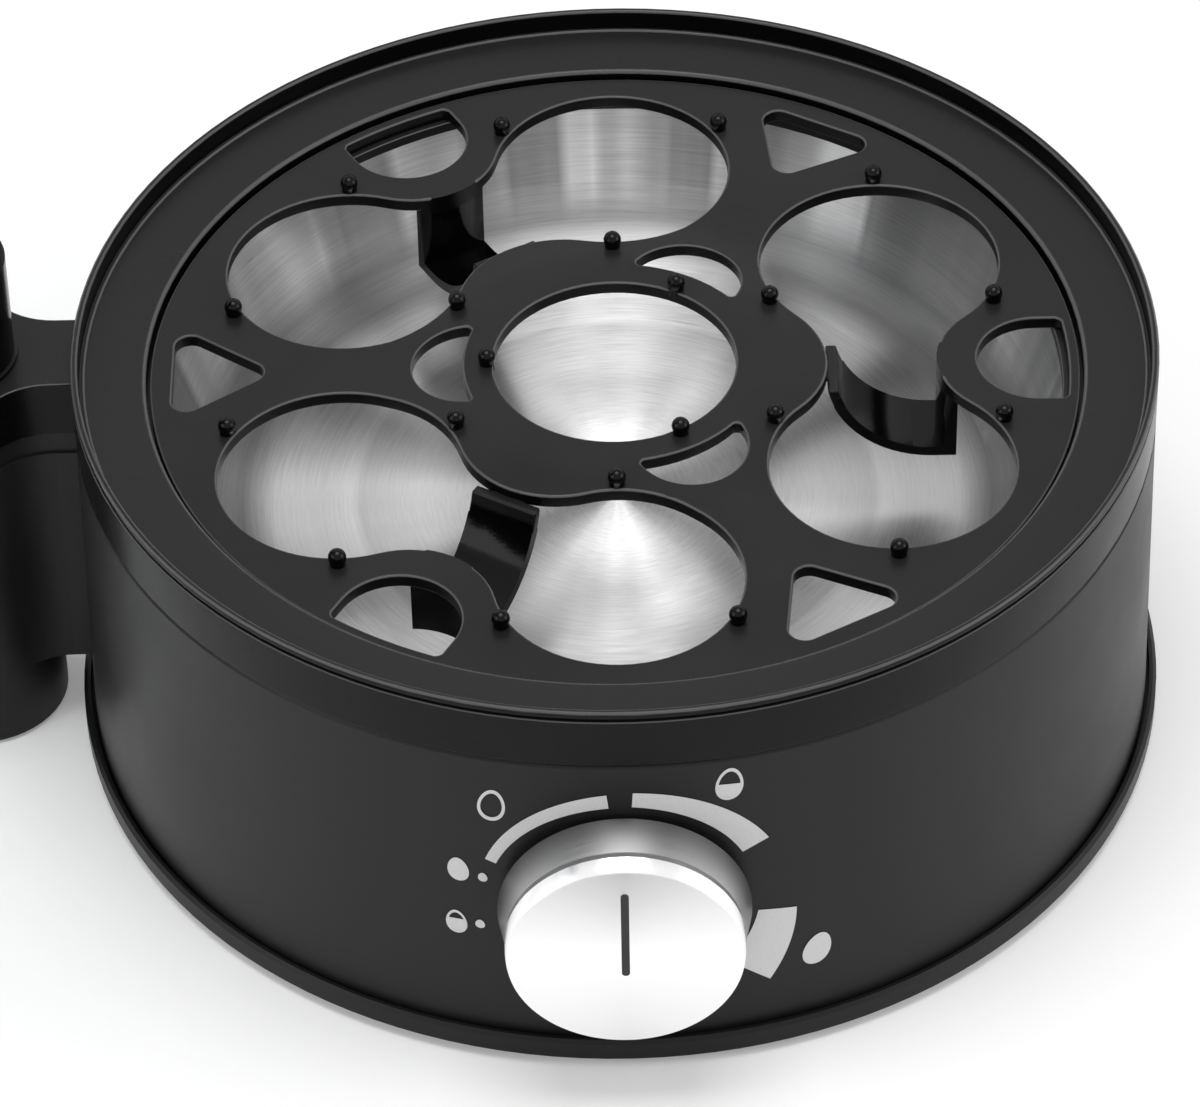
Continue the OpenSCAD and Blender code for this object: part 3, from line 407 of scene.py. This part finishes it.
# Name, colour, roughness, depth of the grain in metres, its fineness, specular level, swing of the roughness
SATIN_BODY = moulded("housing_moulded", (0.013, 0.013, 0.0135), 0.42, 0.00003, 3200, 0.2).mat
SATIN_COLLAR = collar_plastic()
SATIN_BASE = moulded("base_moulded", (0.008, 0.008, 0.0085), 0.4, 0.00004, 2400, 0.2).mat
GLOSS_POST = post_plastic()
GLOSS_LID = moulded("lid_moulded", (0.008, 0.008, 0.0085), 0.24, 0.00002, 1500, 0.45, 0.04).mat
PALE = moulded("pale_moulded", (0.72, 0.69, 0.61), 0.45, 0.00004, 1600, 0.45).mat
RUBBER = moulded("rubber_moulded", (0.028, 0.028, 0.029), 0.8, 0.0001, 1400, 0.2).mat
SILICONE = moulded("silicone_moulded", (0.36, 0.07, 0.05), 0.6, 0.00006, 1300, 0.3).mat
POINTER = moulded("pointer_insert", (0.03, 0.03, 0.03), 0.5, 0.00003, 2500, 0.3).mat
STEEL = steel("fastener_plated")
ALUMINIUM = steel("aluminium_sheet", (0.72, 0.72, 0.73), 0.36)
PRINT = printed()
CHROME = knob_chrome()
SATIN = knob_satin()

MATERIALS = {
    "housing": SATIN_BODY,
    "collar": SATIN_COLLAR,
    "base_plate": SATIN_BASE,
    "column_foot": SATIN_BASE,
    "rubber_feet": RUBBER,
    "cord_gland": RUBBER,
    "dish_gasket": SILICONE,
    "heating_dish": dish_steel(),
    "heat_plate": ALUMINIUM,
    "heating_element": element_metal(),
    "thermostat": PALE,
    "thermal_fuse": PALE,
    "regulator_body": PALE,
    "terminal_block": PALE,
    "hinge_bush": PALE,
    "buzzer": SATIN_BASE,
    "inner_leads": lead_sleeve(),
    "hinge_post": GLOSS_POST,
    "knob_drum": SATIN,
    "knob_cap": CHROME,
    "knob_pointer": POINTER,
    "egg_tray": tray_plastic(),
    "lid_dome": clear_dome(),
    "lid_rim": GLOSS_LID,
    "lid_arm": GLOSS_LID,
    "lid_knob": GLOSS_LID,
}
for name, obj in nodes.items():
    obj.data.materials.clear()
    obj.data.materials.append(MATERIALS.get(name, STEEL))

# ------------------------------------------------------------------ softened edges

WELD, SLIVER = 0.002 * MM, 0.001 * MM  # vertices this close become one, edges this short go
SHARP = math.radians(40)  # an edge that turns more is rounded, or stays sharp
LEVEL = 0.985  # a face whose normal is this upright counts as level


def tray_top(v):
    """Height of the tray's plate at a vertex: its middle lies HUB_RISE higher."""
    share = (HUB_FOOT_R * MM - math.hypot(v.co.x, v.co.y)) / ((HUB_FOOT_R - HUB_R) * MM)
    return (TRAY_TOP + HUB_RISE * max(0.0, min(1.0, share))) * MM


def soften(node, body, width, wanted=lambda e: True):
    """A copy of a rigid node whose outward edges are rounded by width, in millimetres. It stands for the node."""
    source = nodes[node]
    bm = bmesh.new()
    bm.from_mesh(source.data)
    bmesh.ops.remove_doubles(bm, verts=bm.verts, dist=WELD)
    bmesh.ops.dissolve_degenerate(bm, edges=bm.edges, dist=SLIVER)
    edges = [
        e
        for e in bm.edges
        if len(e.link_faces) == 2 and e.is_convex and e.calc_face_angle() > SHARP and wanted(e)
    ]
    bmesh.ops.bevel(
        bm, geom=edges, offset=width * MM, segments=3, profile=0.5, affect="EDGES",
        clamp_overlap=False, loop_slide=False,
    )
    bm.normal_update()
    for face in bm.faces:
        face.smooth = True
    for edge in bm.edges:
        level = [abs(f.normal.z) > LEVEL for f in edge.link_faces]
        edge.smooth = level in ([True, True], [False, False]) and edge.calc_face_angle() < SHARP
    mesh = bpy.data.meshes.new(node + "_moulded")
    bm.to_mesh(mesh)
    bm.free()
    mesh.materials.append(MATERIALS[node])
    obj = bpy.data.objects.new(node + "_moulded", mesh)
    scene.collection.objects.link(obj)
    weighted = obj.modifiers.new("face_normals", "WEIGHTED_NORMAL")
    weighted.keep_sharp = True
    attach(obj, body)
    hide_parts(node)


def on_plate(e):
    """An edge of the tray's flat plate, not of its pins above it or its slings under it."""
    around = [v for f in e.link_faces for v in f.verts]
    return all(PLATE_LOW * MM < v.co.z < tray_top(v) + 0.06 * MM for v in around)


soften("egg_tray", "tray", 0.4, on_plate)
soften("collar", "base", 0.25)

# ------------------------------------------------------------------ knob cap

FACE_R, FACE_SAG, FACE_BACK = 18.7, 0.3, 0.04  # crowned face: radius, crown and place behind the CAD's front
BEVEL_LEN, BEVEL_LEAN = 3.9, 74.0  # rounded rim: length and lean of its normal at the back, in degrees
RIM_GAP = 0.04  # radius that the rim stays inside the CAD's
FACE_STEPS, BEVEL_STEPS = 24, 16


def cap_profile():
    """Radius, depth behind the front and lean of the normal: crowned face, rounded rim, straight back."""
    points = []
    for i in range(FACE_STEPS + 1):
        t = i / FACE_STEPS
        points.append((FACE_R * t, FACE_BACK + FACE_SAG * t * t, math.degrees(2 * FACE_SAG * t / FACE_R)))
    r0, d0, a0 = points[-1]
    for i in range(1, BEVEL_STEPS + 1):
        phi = math.pi / 2 * i / BEVEL_STEPS
        r = r0 + (CAP_R - RIM_GAP - r0) * math.sin(phi)
        d = d0 + (BEVEL_LEN - d0) * (1 - math.cos(phi))
        points.append((r, d, a0 + 8 + (BEVEL_LEAN - a0 - 8) * math.sin(phi) ** 0.7))
    chrome = len(points) - 1
    points += [(CAP_R - 0.16, BEVEL_LEN + 0.02, 60.0), (CAP_R - 0.14, BEVEL_LEN + 0.16, 90.0)]
    points += [(CAP_R - 0.12, CAP_LEN - 0.05, 90.0), (CAP_R - 0.3, CAP_LEN, 170.0), (8.0, CAP_LEN, 180.0)]
    return points, chrome


def make_cap(steps=192):
    """The cap turned from its profile: chrome as far as the rim's back, satin behind it."""
    profile, chrome = cap_profile()
    verts, normals, faces, slots, rings = [], [], [], [], []
    for r, d, lean in profile:
        count = 1 if r == 0.0 else steps
        rings.append(list(range(len(verts), len(verts) + count)))
        s, c = math.sin(math.radians(lean)), math.cos(math.radians(lean))
        for i in range(count):
            a = 2 * math.pi * i / steps
            u, v = math.cos(a), math.sin(a)
            verts.append(Vector((r * u, CAP_FRONT + d, KNOB_Z + r * v)) * MM)
            normals.append((s * u, -c, s * v))
    for n, (a, b) in enumerate(zip(rings, rings[1:])):
        for i in range(steps):
            j = (i + 1) % steps
            faces.append((a[0], b[i], b[j]) if len(a) == 1 else (a[i], b[i], b[j], a[j]))
            slots.append(0 if n < chrome else 1)
    faces.append(tuple(rings[-1]))
    slots.append(1)
    mesh = bpy.data.meshes.new("knob_cap_turned")
    mesh.from_pydata(verts, [], faces)
    mesh.materials.append(CHROME)
    mesh.materials.append(SATIN)
    mesh.polygons.foreach_set("material_index", slots)
    mesh.polygons.foreach_set("use_smooth", [True] * len(faces))
    mesh.normals_split_custom_set_from_vertices(normals)
    obj = bpy.data.objects.new("knob_cap_turned", mesh)
    scene.collection.objects.link(obj)
    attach(obj, "knob")
    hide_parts("knob_cap")


make_cap()

# ------------------------------------------------------------------ printed scale on the housing

RIM_R, SEAM_Z, FLARE, SHELL_BOTTOM = 90.0, 65.2, 1.0, 3.2  # the housing's outside widens downwards by FLARE
PROUD = 0.06  # height of the print over the housing


def on_housing(x, z):
    """Point on the housing's outside, in metres, for a place seen from the front."""
    r = RIM_R + FLARE * (SEAM_Z - z) / (SEAM_Z - SHELL_BOTTOM) + PROUD
    return Vector((x, -math.sqrt(r * r - x * x), z)) * MM


def patch(name, rows):
    """A printed field from rows of (x, z), each row as long as the others."""
    n = len(rows[0])
    verts = [on_housing(x, z) for row in rows for x, z in row]
    faces = [
        (i * n + j, i * n + j + 1, (i + 1) * n + j + 1, (i + 1) * n + j)
        for i in range(len(rows) - 1)
        for j in range(n - 1)
    ]
    mesh = bpy.data.meshes.new(name)
    mesh.from_pydata(verts, [], faces)
    mesh.materials.append(PRINT)
    obj = bpy.data.objects.new(name, mesh)
    scene.collection.objects.link(obj)
    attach(obj, "base")


def arc_field(name, start, end, inner_start, inner_end, outer_start, outer_end, steps=28, across=4):
    """Part of a ring round the knob that widens from start to end, in degrees."""
    rows = []
    for i in range(steps + 1):
        t = i / steps
        a = math.radians(start + (end - start) * t)
        inner = inner_start + (inner_end - inner_start) * t
        outer = outer_start + (outer_end - outer_start) * t
        radii = [inner + (outer - inner) * j / across for j in range(across + 1)]
        rows.append([(r * math.cos(a), KNOB_Z + r * math.sin(a)) for r in radii])
    patch(name, rows)


def egg_point(cx, cz, w, h, tilt, share, angle):
    """Point on a share of an egg outline: blunt below, pointed above."""
    u, v = math.cos(angle), math.sin(angle)
    x = share * w / 2 * u * (1 - 0.13 * v)
    z = share * h / 2 * v
    c, s = math.cos(tilt), math.sin(tilt)
    return cx + x * c - z * s, cz + x * s + z * c


FILL_ROWS, FILL_COLUMNS = 12, 6


def egg_mark(name, cx, cz, w, h, tilt=0.0, line=None, fill_to=None, steps=40):
    """An egg sign: solid, outlined, or outlined with the lower part filled up to fill_to (-1..1)."""
    tilt = math.radians(tilt)
    ring = [2 * math.pi * i / steps for i in range(steps + 1)]
    if line is None:
        shares = [0.02, 0.35, 0.7, 1.0]
    else:
        shares = [1 - 2 * line / w, 1 - line / w, 1.0]
    patch(name, [[egg_point(cx, cz, w, h, tilt, s, a) for a in ring] for s in shares])
    if fill_to is not None:
        rows = []
        inner = 1 - line / w
        for i in range(FILL_ROWS + 1):
            a = math.asin(max(-1, min(1, -1 + (fill_to + 1) * i / FILL_ROWS)))
            left = egg_point(cx, cz, w, h, tilt, inner, math.pi - a)
            right = egg_point(cx, cz, w, h, tilt, inner, a)
            row = [
                tuple(start + (end - start) * j / FILL_COLUMNS for start, end in zip(left, right))
                for j in range(FILL_COLUMNS + 1)
            ]
            rows.append(row)
        patch(name + "_fill", rows)


arc_field("scale_soft", 158.9, 96.0, 21.75, 21.75, 23.6, 24.6)
arc_field("scale_medium", 86.4, 27.4, 21.9, 21.2, 24.9, 25.9)
arc_field("scale_hard", -10.2, -40.6, 21.7, 21.7, 28.0, 30.7)
# Signs: name, place seen from the front, width, height
egg_mark("egg_soft", -20.7, 55.5, 4.35, 6.75, tilt=-7, line=0.5)
egg_mark("egg_medium", 16.75, 60.0, 4.4, 6.8, tilt=-4, line=0.47, fill_to=0.0)
egg_mark("egg_hard", 31.0, 19.35, 4.5, 6.8, tilt=-14)
egg_mark("egg_many", -26.4, 40.15, 3.4, 5.0, tilt=4)
egg_mark("egg_many_dot", -22.5, 39.3, 1.5, 1.9)
egg_mark("egg_few", -27.0, 28.3, 3.4, 5.05, tilt=2, line=0.38, fill_to=0.3)
egg_mark("egg_few_dot", -23.2, 28.7, 1.55, 1.85)

# ------------------------------------------------------------------ floor, world and lights

AMBIENT = 0.45  # strength of the world where camera, metal and glass don't see it directly
FLOOR_HALF = 4.0
LIGHT_AIM = Vector((0, 0, 0.05))


def make_floor():
    mesh = bpy.data.meshes.new("floor")
    s = FLOOR_HALF
    mesh.from_pydata([(-s, -s, 0), (s, -s, 0), (s, s, 0), (-s, s, 0)], [], [(0, 1, 2, 3)])
    mesh.materials.append(floor_white())
    obj = bpy.data.objects.new("floor", mesh)
    scene.collection.objects.link(obj)


def make_world():
    """White world: full strength where camera, metal or glass sees it, AMBIENT as a light."""
    world = bpy.data.worlds.new("studio")
    world.use_nodes = True
    scene.world = world
    tree = world.node_tree
    background = tree.nodes["Background"]
    background.inputs["Color"].default_value = (1.0, 1.0, 1.0, 1.0)
    path = tree.nodes.new("ShaderNodeLightPath").outputs
    seen = path["Is Camera Ray"]
    for kind in ("Is Glossy Ray", "Is Transmission Ray"):
        either = tree.nodes.new("ShaderNodeMath")
        either.operation = "MAXIMUM"
        tree.links.new(seen, either.inputs[0])
        tree.links.new(path[kind], either.inputs[1])
        seen = either.outputs[0]
    level = tree.nodes.new("ShaderNodeMapRange")
    tree.links.new(seen, level.inputs["Value"])
    level.inputs["To Min"].default_value = AMBIENT
    level.inputs["To Max"].default_value = 1.0
    tree.links.new(level.outputs["Result"], background.inputs["Strength"])


def softbox(name, place, size, power):
    """An area lamp that looks at the part."""
    light = bpy.data.lights.new(name, "AREA")
    light.shape = "RECTANGLE"
    light.size, light.size_y = size
    light.energy = power
    obj = bpy.data.objects.new(name, light)
    scene.collection.objects.link(obj)
    obj.location = place
    obj.rotation_euler = (LIGHT_AIM - Vector(place)).to_track_quat("-Z", "Y").to_euler()


make_floor()
make_world()
# Name, place and size in metres, power in watts
softbox("light_top", (0.0, -0.1, 1.5), (0.9, 0.7), 11)
softbox("light_right", (1.3, -0.3, 0.6), (0.7, 0.9), 5)
softbox("light_left", (-1.2, -0.6, 0.6), (0.6, 0.9), 3.5)
